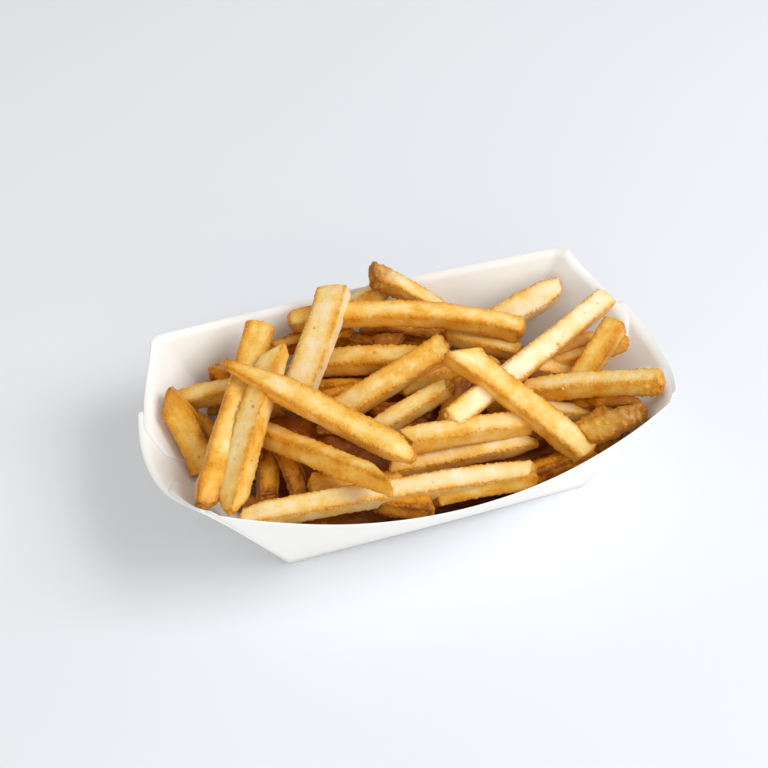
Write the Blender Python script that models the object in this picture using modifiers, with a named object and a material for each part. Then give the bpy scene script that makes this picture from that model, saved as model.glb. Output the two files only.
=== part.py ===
"""French fries heaped in a folded white paperboard tray.

The tray is one piece of folded board: a flat base, two long walls and two end walls that lean
outwards, narrow webs that close the four corners, and glue flaps inside the ends. The fries are
one heap: a low mound of the hidden ones, with every fry that shows fused on at its true size.

Units are metres. The origin is on the surface that the tray stands on, under the middle of its
base. +X runs along the tray, +Y across it to the higher side of the heap, +Z is up.
"""

import math
import random

import bmesh
import bpy
from mathutils import Euler, Matrix, Vector

MM = 0.001

# Driving dimensions of the tray
BOARD = 0.5 * MM                # thickness of the paperboard
BASE_HALF_LENGTH = 52.9 * MM    # middle of the base to the crease of an end wall
BASE_HALF_WIDTH = 33.7 * MM     # middle of the base to the crease of a long wall
RIM_HALF_LENGTH = 78.7 * MM     # the rim's corners
RIM_HALF_WIDTH = 43.9 * MM
RIM_HEIGHT = 42.8 * MM
FRONT_BULGE = 16.6 * MM         # how far each rim bows out at its middle
BACK_BULGE = 8.6 * MM
LEFT_BULGE = 11.8 * MM
RIGHT_BULGE = 13.7 * MM
LONG_DIP = 5.9 * MM             # how far each rim sinks at its middle
END_DIP = 12.7 * MM
CORNER_FOLD = 0.6 * MM          # width of a corner web at the base
CORNER_WEB = 3.6 * MM           # width of a corner web at the rim
PANEL_RISE = 0.8 * MM           # an end panel stands this much above the flaps in it
PANEL_SPAN = (-0.95, 0.45)      # part of each end, from its middle, that the panel covers
FLAP_SINK = 0.25 * MM           # how deep a flap is bonded into the end panel
BACK_FLAP = (0.06, 0.99)        # part of each end that the back flap covers
FRONT_FLAP = (-0.99, -0.20)     # part of each end that the front flap covers
FLAP_FOOT = 0.04                # lower and upper edge of a flap, as parts of the wall's height
FLAP_TOP = 0.97
FLAP_CUT = 0.83                 # height at which a flap's free corner is cut off
FLAP_CUT_RUN = 0.22             # length of that cut along the end
LONG_STEPS = 16                 # faces along a long wall and along an end wall
END_STEPS = 14

# Driving dimensions of the heap
CORE_FLOOR = 0.9 * MM           # underside of the hidden mound
CORE_HALF_LENGTH = 50.0 * MM
CORE_HALF_WIDTH = 31.0 * MM
CORE_SPREAD = 0.45              # how much wider the mound gets for each unit of height
CORE_EDGE = 12.0 * MM           # height of the mound at its rim and at its middle
CORE_CROWN = 21.0 * MM
CORE_STEPS = 8
FRY_CHAMFER = 0.22              # corner cut of a fry, as a part of its thickness
FRY_TAPER = 0.16                # how much thinner a fry is at its ends
FRY_BOW = 0.9 * MM              # how far the middle of a fry stands above its ends
FRY_CUTS = 3                    # cross cuts that let a fry bend

# Driving dimensions of the fries between the mound and the ones that show, in millimetres and degrees
HIDDEN_SEED = 8
HIDDEN_COUNT = 30               # most that are laid, and how many each is picked from
HIDDEN_DRAWS = 24
HIDDEN_LENGTH = (22, 50)        # shortest and longest
HIDDEN_THICKNESS = (5.6, 6.8)
HIDDEN_HEADING = (-75, 45)
HIDDEN_SPREAD = (76, 44)        # half length and half width of the patch that they lie in
HIDDEN_EDGE = 17                # height that they reach at the tray's walls and in the middle
HIDDEN_CROWN = 27
HIDDEN_TILTS = (-20, -15, -10, -5, 0, 5, 10, 15, 20)
HIDDEN_SINK = 1.0               # how far one is pressed into what lies on it
HIDDEN_PLACES = 7               # places along one where the room above it is measured
WALL_GAP = 1                    # between one and the tray's walls

# The fries that show. Each row is the middle of a fry as x, y and z in millimetres, its heading
# from +X and the tilt of that end in degrees, its length and its thickness in millimetres.
TOP_FRIES = (
    (-34, -8, 42, -47, -9, 75, 6),
    (-23.5, 27.5, 38.5, -127, -18, 52, 7.4),
    (35.5, -20, 35, -52, -22, 59, 6.6),
    (48, 0, 35, 27, 1, 84, 6.6),
    (-52, -4, 37.5, -120, -8, 76, 7.5),
    (10.5, 29, 36, -20, -2, 85, 6.4),
    (-3.5, 7.5, 31.5, 13, 12, 49, 6.5),
    (-39, -24, 35, -57, 11, 59, 6.6),
    (-56.5, 5, 39, -118, -4, 85, 7.2),
    (60, -20, 34, -29, 14, 49, 6.5),
    (-19, -39.5, 28, -3, -4, 100, 6.4),
)
MIDDLE_FRIES = (
    (69, -5.5, 32.5, -140, -23, 32, 6.4),
    (-1, -7, 30, 14, 9, 35, 5.8),
    (54.5, 29, 31, 14, 9, 41, 6.5),
    (17, 42, 37, -22, -35, 37, 6.2),
    (-3, 47, 35, 7, 12, 30, 6),
    (60, -37.5, 32, -6, 20, 24, 5.4),
    (57, -31.5, 26, 16, 7, 31, 6.6),
    (42, -17, 25, -18, -8, 41, 6.2),
    (66, 0.5, 28.5, -9, 14, 35, 5.2),
    (59, 7, 26, 8, 1, 41, 5.8),
    (57, -2, 25, -13, -19, 33, 5.8),
    (-6, 22, 29, -23, 7, 41, 7.2),
    (18, 8, 27, 3, -3, 39, 5.8),
    (10.5, -27, 24, -3, -1, 52, 5.6),
    (12, -24, 31, -2, -5, 48, 6.4),
    (-74.5, 10, 27.5, -78, -24, 33, 7),
    (-60.5, 23, 29, -5, 0, 30, 6.2),
)
LOW_FRIES = (
    (-66, 12, 22, -43, -25, 25, 6.4),
    (-52, -9.5, 22.5, -108, -3, 33, 6.6),
    (-46, -15, 25, -89, -12, 25, 6),
    (-60, -20, 16, -64, 18, 14, 5),
    (-27, -30, 25, -13, -8, 34, 6.2),
    (38, -39, 20, 1, 10, 31, 6),
    (-17, -42, 25, -29, 1, 22, 6.4),
    (11.5, -42.5, 23.5, -5, 0, 37, 6),
    (15, -8, 27, -125, -3, 28, 6.4),
    (55, -36.5, 23.5, 0, 15, 21, 6),
    (61, -22, 27, -47, 27, 35, 5.6),
    (-20, 18.5, 22.8, -16, 2, 25, 5.4),
    (-24, 13, 24.3, -8, 6, 24, 6),
    (-4.5, 36, 25, -33, -3, 25, 5.8),
    (11, 35, 27, -24, -8, 29, 6.2),
    (12, 33, 22, -26, -5, 25, 6.2),
    (22.5, 35, 24, -27, -2, 27, 5.8),
    (35, 18, 29, -33, -9, 28, 5.8),
    (42, 24, 23, 29, -10, 25, 5),
    (-23, 38, 31, -2, 7, 31, 5.4),
    (-15, 41, 23, 0, -3, 16, 5.4),
    (-52.5, 30.5, 27, -32, -9, 19, 6),
    (-55, 26, 20, -27, 16, 19, 5.6),
    (-49, 22, 17.5, -24, -4, 26, 6.2),
)


def make_material(name, colour, roughness):
    material = bpy.data.materials.new(name)
    material.use_nodes = True
    shader = material.node_tree.nodes["Principled BSDF"]
    shader.inputs["Base Color"].default_value = (*colour, 1.0)
    shader.inputs["Roughness"].default_value = roughness
    shader.inputs["Metallic"].default_value = 0.0
    return material


def add_object(name, mesh, collection, material=None):
    piece = bpy.data.objects.new(name, mesh)
    collection.objects.link(piece)
    if material is not None:
        mesh.materials.append(material)
    return piece


def finish_mesh(name, shape):
    mesh = bpy.data.meshes.new(name)
    shape.to_mesh(mesh)
    shape.free()
    return mesh


def fuse(piece, others):
    """Join a piece with every object of a collection, then remove those objects."""
    union = piece.modifiers.new("fused", "BOOLEAN")
    union.operation = "UNION"
    union.solver = "EXACT"
    union.operand_type = "COLLECTION"
    union.collection = others
    evaluated = piece.evaluated_get(bpy.context.evaluated_depsgraph_get())
    fused = bpy.data.meshes.new_from_object(evaluated)
    piece.modifiers.clear()
    piece.data = fused
    for other in list(others.objects):
        bpy.data.objects.remove(other)


def keep_largest_body(mesh):
    """Drop loose scraps, and fill sealed hollows by dropping the skins inside the body."""
    shape = bmesh.new()
    shape.from_mesh(mesh)
    unseen = set(shape.verts)
    bodies = []
    while unseen:
        body = {unseen.pop()}
        front = list(body)
        while front:
            vertex = front.pop()
            for edge in vertex.link_edges:
                other = edge.other_vert(vertex)
                if other in unseen:
                    unseen.remove(other)
                    body.add(other)
                    front.append(other)
        bodies.append(body)
    bodies.sort(key=len)
    for body in bodies[:-1]:
        bmesh.ops.delete(shape, geom=list(body), context="VERTS")
    shape.to_mesh(mesh)
    shape.free()


def end_wall_point(side, along, up):
    """Point on the inner face of an end wall: side -1 is left, along and up are parts of it."""
    bulge = RIGHT_BULGE if side > 0 else LEFT_BULGE
    swell = 1 - along ** 2
    foot = Vector((side * BASE_HALF_LENGTH, along * BASE_HALF_WIDTH, BOARD))
    rim = Vector((side * (RIM_HALF_LENGTH + bulge * swell), along * RIM_HALF_WIDTH,
                  RIM_HEIGHT - END_DIP * swell))
    return foot.lerp(rim, up)


def tray_ring(at_rim):
    """Points round the tray, on the inner face, at the base creases or at the rim."""
    corner = (CORNER_WEB if at_rim else CORNER_FOLD) / math.sqrt(2)
    length = RIM_HALF_LENGTH if at_rim else BASE_HALF_LENGTH
    width = RIM_HALF_WIDTH if at_rim else BASE_HALF_WIDTH
    height = RIM_HEIGHT if at_rim else BOARD
    points = []
    for side, bulge in ((-1, FRONT_BULGE), (1, BACK_BULGE)):
        for step in range(LONG_STEPS + 1):
            along = -1 + 2 * step / LONG_STEPS
            swell = (1 - along ** 2) * at_rim
            points.append(Vector((-side * along * (length - corner), side * (width + bulge * swell),
                                  height - LONG_DIP * swell)))
        bulge = RIGHT_BULGE if side < 0 else LEFT_BULGE
        for step in range(END_STEPS + 1):
            along = -1 + 2 * step / END_STEPS
            swell = (1 - along ** 2) * at_rim
            across = -side * along * (width - corner)
            covered = PANEL_SPAN[0] < -side * along < PANEL_SPAN[1]
            rise = PANEL_RISE * at_rim * covered
            points.append(Vector((-side * (length + bulge * swell), across,
                                  height - END_DIP * swell + rise)))
    return points


def make_tray_wall():
    """The open inner face of the tray: its base, and walls drawn up from the base's outline."""
    shape = bmesh.new()
    foot = [shape.verts.new(point) for point in tray_ring(0)]
    outline = [shape.edges.new((foot[i - 1], foot[i])) for i in range(len(foot))]
    drawn = bmesh.ops.extrude_edge_only(shape, edges=outline)["geom"]
    raised = {tuple(vertex.co): vertex for vertex in drawn if isinstance(vertex, bmesh.types.BMVert)}
    rim = [raised[tuple(vertex.co)] for vertex in foot]
    for vertex, point in zip(rim, tray_ring(1)):
        vertex.co = point
    bmesh.ops.contextual_create(shape, geom=foot)
    bmesh.ops.recalc_face_normals(shape, faces=shape.faces)
    base = min(shape.faces, key=lambda face: face.calc_center_median().z)
    if base.normal.z < 0:
        bmesh.ops.reverse_faces(shape, faces=shape.faces)
    bmesh.ops.triangulate(shape, faces=shape.faces)
    return finish_mesh("tray", shape)


def make_flap(side, span):
    """A strip of board on the inner face of an end wall, with its free upper corner cut off."""
    steps = END_STEPS // 2
    free_edge = span[0] if span[0] > 0 else span[1]
    shape = bmesh.new()
    along = [span[0] + (span[1] - span[0]) * step / steps for step in range(steps + 1)]
    foot = [shape.verts.new(end_wall_point(side, part, FLAP_FOOT)) for part in along]
    edges = [shape.edges.new(pair) for pair in zip(foot, foot[1:])]
    drawn = bmesh.ops.extrude_edge_only(shape, edges=edges)["geom"]
    raised = {tuple(vertex.co): vertex for vertex in drawn if isinstance(vertex, bmesh.types.BMVert)}
    for vertex, part in zip(foot, along):
        cut = (FLAP_TOP - FLAP_CUT) * max(0, 1 - abs(part - free_edge) / FLAP_CUT_RUN)
        raised[tuple(vertex.co)].co = end_wall_point(side, part, FLAP_TOP - cut)
    bmesh.ops.recalc_face_normals(shape, faces=shape.faces)
    shape.normal_update()
    if sum(face.normal.x for face in shape.faces) * side > 0:
        bmesh.ops.reverse_faces(shape, faces=shape.faces)
    bmesh.ops.triangulate(shape, faces=shape.faces)
    return finish_mesh("flap", shape)


def add_tray(collection, helpers):
    board = make_material("white coated paperboard", (0.84, 0.84, 0.82), 0.55)
    tray = add_object("tray", make_tray_wall(), collection, board)
    thicken = tray.modifiers.new("board", "SOLIDIFY")
    thicken.thickness = BOARD
    thicken.offset = -1
    thicken.use_even_offset = True
    thicken.use_quality_normals = True
    for side in (-1, 1):
        for span in (BACK_FLAP, FRONT_FLAP):
            flap = add_object("flap", make_flap(side, span), helpers)
            layer = flap.modifiers.new("board", "SOLIDIFY")
            layer.thickness = BOARD + FLAP_SINK
            layer.offset = 2 * BOARD / (BOARD + FLAP_SINK) - 1
    fuse(tray, helpers)
    keep_largest_body(tray.data)


def make_core():
    """The hidden fries as one mound: flat underneath, wider upwards, crowned in the middle."""
    shape = bmesh.new()
    bmesh.ops.create_cube(shape, size=2)
    bmesh.ops.subdivide_edges(shape, edges=shape.edges, cuts=CORE_STEPS - 1, use_grid_fill=True)
    for vertex in shape.verts:
        u, v, w = vertex.co
        crown = CORE_EDGE + (CORE_CROWN - CORE_EDGE) * (1 - u ** 4) * (1 - v ** 4)
        height = CORE_FLOOR + (crown - CORE_FLOOR) * (w + 1) / 2
        vertex.co = (u * (CORE_HALF_LENGTH + CORE_SPREAD * height),
                     v * (CORE_HALF_WIDTH + CORE_SPREAD * height), height)
    bmesh.ops.dissolve_limit(shape, angle_limit=math.radians(1), verts=shape.verts, edges=shape.edges)
    bmesh.ops.triangulate(shape, faces=shape.faces)
    return finish_mesh("fries", shape)


def make_fry(length, thickness):
    """A straight-cut fry along X: square, with its long corners cut, slimmer ends and a bow."""
    shape = bmesh.new()
    bmesh.ops.create_cube(shape, size=1)
    bmesh.ops.scale(shape, vec=(length, thickness, thickness), verts=shape.verts)
    long_edges = [edge for edge in shape.edges if abs(edge.verts[0].co.x - edge.verts[1].co.x) > length / 2]
    bmesh.ops.bevel(shape, geom=long_edges, affect="EDGES", offset=FRY_CHAMFER * thickness,
                    offset_type="OFFSET", segments=1, profile=0.5, material=-1)
    for cut in range(1, FRY_CUTS + 1):
        place = Vector((length * (cut / (FRY_CUTS + 1) - 0.5), 0, 0))
        everything = list(shape.verts) + list(shape.edges) + list(shape.faces)
        bmesh.ops.bisect_plane(shape, geom=everything, plane_co=place, plane_no=(1, 0, 0))
    for vertex in shape.verts:
        reach = (2 * vertex.co.x / length) ** 2
        vertex.co.y *= 1 - FRY_TAPER * reach
        vertex.co.z *= 1 - FRY_TAPER * reach
        vertex.co.z += FRY_BOW * (0.5 - reach)
    return finish_mesh("fry", shape)


def ends_of(row):
    """Both ends of a fry's middle line."""
    x, y, z, heading, tilt, length, thickness = row
    run = Euler((0, -math.radians(tilt), math.radians(heading))).to_matrix() @ Vector((length / 2, 0, 0))
    return Vector((x, y, z)) - run, Vector((x, y, z)) + run


def room_over(spot, thickness, laid):
    """Height of the lowest thing over a spot: a fry laid there, or the top of the hidden fries."""
    u = min(1, abs(spot.x) / HIDDEN_SPREAD[0])
    v = min(1, abs(spot.y) / HIDDEN_SPREAD[1])
    lowest = HIDDEN_EDGE + (HIDDEN_CROWN - HIDDEN_EDGE) * (1 - u * u) * (1 - v * v)
    for start, stop, other_thickness in laid:
        run = (stop - start).to_2d()
        part = min(1, max(0, (spot - start.to_2d()).dot(run) / run.length_squared))
        nearest = start.lerp(stop, part)
        if (nearest.to_2d() - spot).length < (thickness + other_thickness) / 2:
            lowest = min(lowest, nearest.z - other_thickness / 2)
    return lowest


def inside_walls(spot, thickness):
    """Whether a fry's end is above the mound's underside, and clear of the leaning, bowed walls."""
    underside = spot.z - thickness / 2
    part = underside * MM / RIM_HEIGHT
    margin = WALL_GAP + thickness / 2
    half_length = (BASE_HALF_LENGTH + (RIM_HALF_LENGTH - BASE_HALF_LENGTH) * part) / MM - margin
    bulge = BACK_BULGE if spot.y > 0 else FRONT_BULGE
    rim_half_width = RIM_HALF_WIDTH + bulge * max(0, 1 - (spot.x / half_length) ** 2)
    half_width = (BASE_HALF_WIDTH + (rim_half_width - BASE_HALF_WIDTH) * part) / MM - margin
    return underside > CORE_FLOOR / MM and abs(spot.x) < half_length and abs(spot.y) < half_width


def draw_hidden_fry(draw, laid):
    """A row for one fry, drawn at random and raised as far as what is laid lets it lie."""
    middle = Vector((draw.uniform(-1, 1) * HIDDEN_SPREAD[0], draw.uniform(-1, 1) * HIDDEN_SPREAD[1]))
    heading = draw.uniform(*HIDDEN_HEADING)
    length = draw.uniform(*HIDDEN_LENGTH)
    thickness = draw.uniform(*HIDDEN_THICKNESS)
    run = Matrix.Rotation(math.radians(heading), 2) @ Vector((length / 2, 0))
    parts = [2 * place / (HIDDEN_PLACES - 1) - 1 for place in range(HIDDEN_PLACES)]
    rooms = [room_over(middle + part * run, thickness, laid) for part in parts]
    best = (-1, 0)
    for tilt in HIDDEN_TILTS:
        rise = math.tan(math.radians(tilt)) * length / 2
        best = max(best, (min(room - rise * part for room, part in zip(rooms, parts)), tilt))
    height = best[0] - thickness / 2 + HIDDEN_SINK
    return (*middle, height, heading, best[1], length, thickness)


def hidden_fries(shown):
    """Rows of fries laid one by one under those that show: of each few drawn, the highest is laid."""
    draw = random.Random(HIDDEN_SEED)
    laid = [(*ends_of(row), row[-1]) for row in shown]
    rows = []
    for _ in range(HIDDEN_COUNT):
        drawn = [draw_hidden_fry(draw, laid) for _ in range(HIDDEN_DRAWS)]
        fitting = [row for row in drawn if all(inside_walls(end, row[-1]) for end in ends_of(row))]
        if fitting:
            row = max(fitting, key=lambda row: row[2])
            laid.append((*ends_of(row), row[-1]))
            rows.append(row)
    return rows


def add_heap(collection, helpers):
    potato = make_material("fried potato", (0.72, 0.46, 0.14), 0.45)
    heap = add_object("fries", make_core(), collection, potato)
    shown = TOP_FRIES + MIDDLE_FRIES + LOW_FRIES
    for x, y, z, heading, tilt, length, thickness in (*shown, *hidden_fries(shown)):
        fry = add_object("fry", make_fry(length * MM, thickness * MM), helpers)
        turn = Euler((0, -math.radians(tilt), math.radians(heading))).to_matrix().to_4x4()
        fry.data.transform(Matrix.Translation(Vector((x, y, z)) * MM) @ turn)
    fuse(heap, helpers)
    heap.data.materials.clear()
    heap.data.materials.append(potato)
    keep_largest_body(heap.data)


def new_collection(name):
    collection = bpy.data.collections.new(name)
    bpy.context.scene.collection.children.link(collection)
    return collection


def main():
    for old in list(bpy.data.objects):
        bpy.data.objects.remove(old)
    collection = new_collection("french fries in a tray")
    helpers = new_collection("joined shapes")
    add_tray(collection, helpers)
    add_heap(collection, helpers)


main()
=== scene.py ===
"""Looks of the french fries in their folded paperboard tray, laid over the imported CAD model.

The file follows the object as it is put together: the tray, then the fries that show, then the
hidden fries, which a rule lays under those, then the crumbs, and last the table, the light and the
camera. Lengths are metres, but millimetres for the fries and crumbs until they are laid in the tray.
"""

import math
import random

import bmesh
import bpy
from mathutils import Euler, Matrix, Vector, noise
from mathutils.bvhtree import BVHTree


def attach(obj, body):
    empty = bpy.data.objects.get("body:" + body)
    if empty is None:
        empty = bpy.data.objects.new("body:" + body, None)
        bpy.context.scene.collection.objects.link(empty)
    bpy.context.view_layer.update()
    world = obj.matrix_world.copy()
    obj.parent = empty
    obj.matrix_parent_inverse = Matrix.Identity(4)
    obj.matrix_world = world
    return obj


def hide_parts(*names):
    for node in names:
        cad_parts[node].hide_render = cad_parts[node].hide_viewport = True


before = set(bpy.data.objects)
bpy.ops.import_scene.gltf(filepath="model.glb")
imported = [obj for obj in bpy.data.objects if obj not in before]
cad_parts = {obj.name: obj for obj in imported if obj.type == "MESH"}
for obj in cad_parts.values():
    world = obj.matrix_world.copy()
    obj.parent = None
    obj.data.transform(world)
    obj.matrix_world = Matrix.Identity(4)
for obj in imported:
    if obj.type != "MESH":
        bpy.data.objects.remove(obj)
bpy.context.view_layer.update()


# Tray
# A takeaway food tray, cut and creased from one sheet of white clay-coated paperboard. The two long
# walls run round the corners into glue flaps, and an end panel is glued over the flaps from outside.

MM = 0.001
BOARD = 0.5 * MM                # thickness of the paperboard
BASE_HALF_LENGTH = 52.9 * MM    # middle of the base to the crease of an end panel
BASE_HALF_WIDTH = 33.7 * MM     # middle of the base to the crease of a long wall
RIM_HALF_LENGTH = 78.7 * MM     # middle of the tray to the rim's corners, and their height
RIM_HALF_WIDTH = 43.9 * MM
RIM_HEIGHT = 42.8 * MM
FRONT_BULGE = 16.6 * MM         # how far each rim bows out at its middle
BACK_BULGE = 8.6 * MM
LEFT_BULGE = 11.8 * MM
RIGHT_BULGE = 13.7 * MM
LONG_DIP = 5.9 * MM             # how far each rim sinks at its middle
END_DIP = 12.7 * MM
CORNER_SIDE = 2.55 * MM         # how much a corner web takes off each wall at the rim
GLUE_GAP = 0.03 * MM            # between a flap and the panel that is glued over it
PANEL_RISE = 0.8 * MM           # an end panel stands this much above the flaps
PANEL_SPAN = (-0.95, 0.45)      # part of the end that the panel covers at the rim
BACK_FLAP_EDGE = 0.08           # where each flap ends, from the middle of the end wall
FRONT_FLAP_EDGE = -0.22
FLAP_FOOT = 0.04                # lower and upper edge of a flap, as parts of the wall's height
FLAP_TOP = 0.98
FLAP_CUT = 0.15                 # how much lower the free corner of a flap is, as it is cut off
FLAP_CUT_RUN = 0.23             # length of that cut along the end
FLAP_EASE = 0.1                 # part of the end over which a flap's edges leave the corner
WARP = 0.35 * MM                # how far the leaning walls wander from true
WARP_LENGTH = 34 * MM
WELD = 0.01 * MM                # edges of board closer than this are one crease
LONG_STEPS = 64                 # faces along a long wall, along an end, up a wall and across a web
END_STEPS = 40
RISE_STEPS = 12
WEB_STEPS = 3
CLOUD = 9 * MM                  # size of the board's faint clouds, and of its fibres
FIBRE = 0.7 * MM
FIBRE_RELIEF = 0.03 * MM
MIX_A = 6                       # a Mix node's two colour sockets, and its colour output
MIX_B = 7
MIXED = 2


def long_wall_point(side, along, up):
    """Point on the inner face of a long wall: side -1 is the front, along -1 is the left end."""
    swell = 1 - along ** 2
    bulge = BACK_BULGE if side > 0 else FRONT_BULGE
    foot = Vector((along * BASE_HALF_LENGTH, side * BASE_HALF_WIDTH, BOARD))
    rim = Vector((along * (RIM_HALF_LENGTH - CORNER_SIDE), side * (RIM_HALF_WIDTH + bulge * swell),
                  RIM_HEIGHT - LONG_DIP * swell))
    return foot.lerp(rim, up)


def end_wall_point(side, along, up, inward=0.0):
    """Point on an end panel's inner face, or on a flap that lies further inward on it."""
    swell = 1 - along ** 2
    bulge = RIGHT_BULGE if side > 0 else LEFT_BULGE
    foot = Vector((side * BASE_HALF_LENGTH, along * BASE_HALF_WIDTH, BOARD))
    rim = Vector((side * (RIM_HALF_LENGTH + bulge * swell), along * (RIM_HALF_WIDTH - CORNER_SIDE),
                  RIM_HEIGHT - END_DIP * swell))
    leaning = rim - foot
    away = Vector((-side * leaning.z, 0, side * leaning.x)).normalized()
    return foot.lerp(rim, up) + away * inward * min(1, up / FLAP_FOOT)


def flap_point(side, along, up, free_edge):
    """Point on a flap, whose top edge drops to a cut at its free corner."""
    reach = min(1, (1 - abs(along)) / FLAP_EASE)
    cut = FLAP_CUT * max(0, 1 - abs(along - free_edge) / FLAP_CUT_RUN)
    foot = FLAP_FOOT * reach
    top = 1 - (1 - FLAP_TOP) * reach - cut
    return end_wall_point(side, along, foot + (top - foot) * up, BOARD + GLUE_GAP)


def panel_point(side, across, up):
    """Point on an end panel, which narrows from the whole crease to its span at the rim."""
    start = -1 + (PANEL_SPAN[0] + 1) * up
    stop = 1 + (PANEL_SPAN[1] - 1) * up
    return end_wall_point(side, start + (stop - start) * across, up * (1 + PANEL_RISE / RIM_HEIGHT))


def add_sheet(board, across_steps, up_steps, place):
    """Add a grid of board, each point where place puts it by its parts across and up."""
    sheet = bmesh.ops.create_grid(board, x_segments=across_steps, y_segments=up_steps, size=0.5)
    for vertex in sheet["verts"]:
        vertex.co = place(vertex.co.x + 0.5, vertex.co.y + 0.5)


def make_tray():
    """The creased sheet of board, inner face up, as one mesh of base, walls, webs and flaps."""
    board = bmesh.new()
    add_sheet(board, LONG_STEPS, END_STEPS,
              lambda u, v: Vector(((2 * u - 1) * BASE_HALF_LENGTH, (2 * v - 1) * BASE_HALF_WIDTH, BOARD)))
    for side in (-1, 1):
        add_sheet(board, END_STEPS, RISE_STEPS, lambda u, v: panel_point(side, u, v))
        add_sheet(board, LONG_STEPS, RISE_STEPS, lambda u, v: long_wall_point(side, 2 * u - 1, v))
        free_edge = BACK_FLAP_EDGE if side > 0 else FRONT_FLAP_EDGE
        for end in (-1, 1):
            add_sheet(board, WEB_STEPS, RISE_STEPS,
                      lambda u, v: long_wall_point(side, end, v).lerp(flap_point(end, side, v, free_edge), u))
            add_sheet(board, END_STEPS // 2, RISE_STEPS,
                      lambda u, v: flap_point(end, side + (free_edge - side) * u, v, free_edge))
    bmesh.ops.remove_doubles(board, verts=board.verts, dist=WELD)
    bmesh.ops.recalc_face_normals(board, faces=board.faces)
    lowest = min(board.faces, key=lambda face: face.calc_center_median().z)
    if lowest.normal.z < 0:
        bmesh.ops.reverse_faces(board, faces=board.faces)
    board.normal_update()
    for vertex in board.verts:
        lift = vertex.co.z / RIM_HEIGHT
        vertex.co += vertex.normal * WARP * lift * noise.noise(vertex.co / WARP_LENGTH)
    mesh = bpy.data.meshes.new("tray_board")
    board.to_mesh(mesh)
    board.free()
    mesh.shade_smooth()
    return mesh


def add_piece(name, mesh, material):
    """Add a finished mesh to the scene, with its material, under the root body."""
    piece = bpy.data.objects.new(name, mesh)
    bpy.context.scene.collection.objects.link(piece)
    mesh.materials.append(material)
    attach(piece, "root")
    return piece


def linear(hex_colour):
    """Turn an sRGB hex colour into the linear colour that a shader takes."""
    parts = [int(hex_colour[i:i + 2], 16) / 255 for i in (1, 3, 5)]
    return (*[p / 12.92 if p <= 0.04045 else ((p + 0.055) / 1.055) ** 2.4 for p in parts], 1.0)


def add_node(material, kind, sockets=(), **settings):
    """Add a node with its settings, and give its sockets a constant or another node's output."""
    tree = material.node_tree
    node = tree.nodes.new(kind)
    for name, value in settings.items():
        if hasattr(node, name):
            setattr(node, name, value)
        else:
            node.inputs[name.replace("_", " ")].default_value = value
    for socket, value in dict(sockets).items():
        if isinstance(value, bpy.types.NodeSocket):
            tree.links.new(value, node.inputs[socket])
        else:
            node.inputs[socket].default_value = value
    return node


def start_material(name):
    """A new material, and its shader."""
    material = bpy.data.materials.new(name)
    material.use_nodes = True
    return material, material.node_tree.nodes["Principled BSDF"]


def make_paperboard():
    """Clay-coated bleached board: a soft white with a satin coat and the faint cloud of its fibres."""
    material, shader = start_material("clay-coated paperboard")
    place = add_node(material, "ShaderNodeTexCoord").outputs["Object"]
    clouds = add_node(material, "ShaderNodeTexNoise", {"Vector": place}, Scale=1 / CLOUD, Detail=3.0)
    tone = add_node(material, "ShaderNodeMix",
                    {"Factor": clouds.outputs["Fac"], MIX_A: linear("#f3f2ed"), MIX_B: linear("#f9f8f5")},
                    data_type="RGBA")
    fibres = add_node(material, "ShaderNodeTexNoise", {"Vector": place}, Scale=1 / FIBRE, Detail=4.0)
    bump = add_node(material, "ShaderNodeBump", {"Height": fibres.outputs["Fac"]},
                    Strength=0.25, Distance=FIBRE_RELIEF)
    material.node_tree.links.new(tone.outputs[MIXED], shader.inputs["Base Color"])
    material.node_tree.links.new(bump.outputs["Normal"], shader.inputs["Normal"])
    shader.inputs["Roughness"].default_value = 0.5
    shader.inputs["IOR"].default_value = 1.5
    return material


tray = add_piece("folded_tray", make_tray(), make_paperboard())
tray_wall = tray.modifiers.new("board", "SOLIDIFY")
tray_wall.thickness = BOARD
tray_wall.offset = -1
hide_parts("tray")


# Fries that show
# Potato cut into square sticks about 6 mm thick and deep-fried: pale mealy faces, crisper golden
# edges and browned ends. They lie heaped as they fell, and only friction holds them.

END_ROOM = 3.4 * BOARD          # room kept free inside an end wall, which has flaps, and a long wall
LONG_ROOM = 1.4 * BOARD
MEAL_RELIEF = 0.4 * MM          # relief of the mealy flesh and of the crust's grains
GRAIN_RELIEF = 0.5 * MM
FRY_STEP = 0.5                  # spacing of a fry's rings, in millimetres, as is all that follows here
FRY_ACROSS = 12                 # faces across each side of a fry
PLUMP = 1.07                    # how much frying swells a cut stick
CORNER_POWER = 5.2              # how square the section is
END_ROUND = 1.5                 # length over which an end is rounded off, and how much thinner it gets
END_PINCH = 0.22
END_POWER = 21                  # how sharply the sides turn into an end face, and how far that crowns
END_CROWN = 0.3
TAPER_REACH = 10.0              # length over which an end tapers or slants
WANDER = 0.3                    # how far the middle line wanders, and over what length
WANDER_LENGTH = 17.0
SWELL = 0.06                    # how much the thickness wanders, as a part of it
BELLY = 0.22                    # slow unevenness of the faces
BELLY_LENGTH = 6.5
PIT = 0.12                      # quick unevenness of the faces
PIT_LENGTH = 2.3
SINK = 0.2                      # how hollow the middles of the faces have dried
CRISP = 0.65                    # height of the crumbs that the crisp edges have broken into
CRISP_LENGTH = 1.0
CRISP_BAND = 0.45               # width of the crisp edges, as a part of half a face
CRISP_HOLLOW = -0.2             # how deep the gaps between those crumbs go, as a part of their height
CRISP_END_POWER = 40            # how close the crisp edge of an end keeps to it
GOLDEN_BAND = 0.9               # width over which a face turns golden towards the crisp edges
GOLDEN_END = 5                  # length over which it turns golden towards an end
SIDE_FADE = 3                   # how sharply the upper face's tone gives way to the painted shade of the sides
BROWNING = 0.6                  # how much browner an end is that lay in the hotter oil
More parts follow.
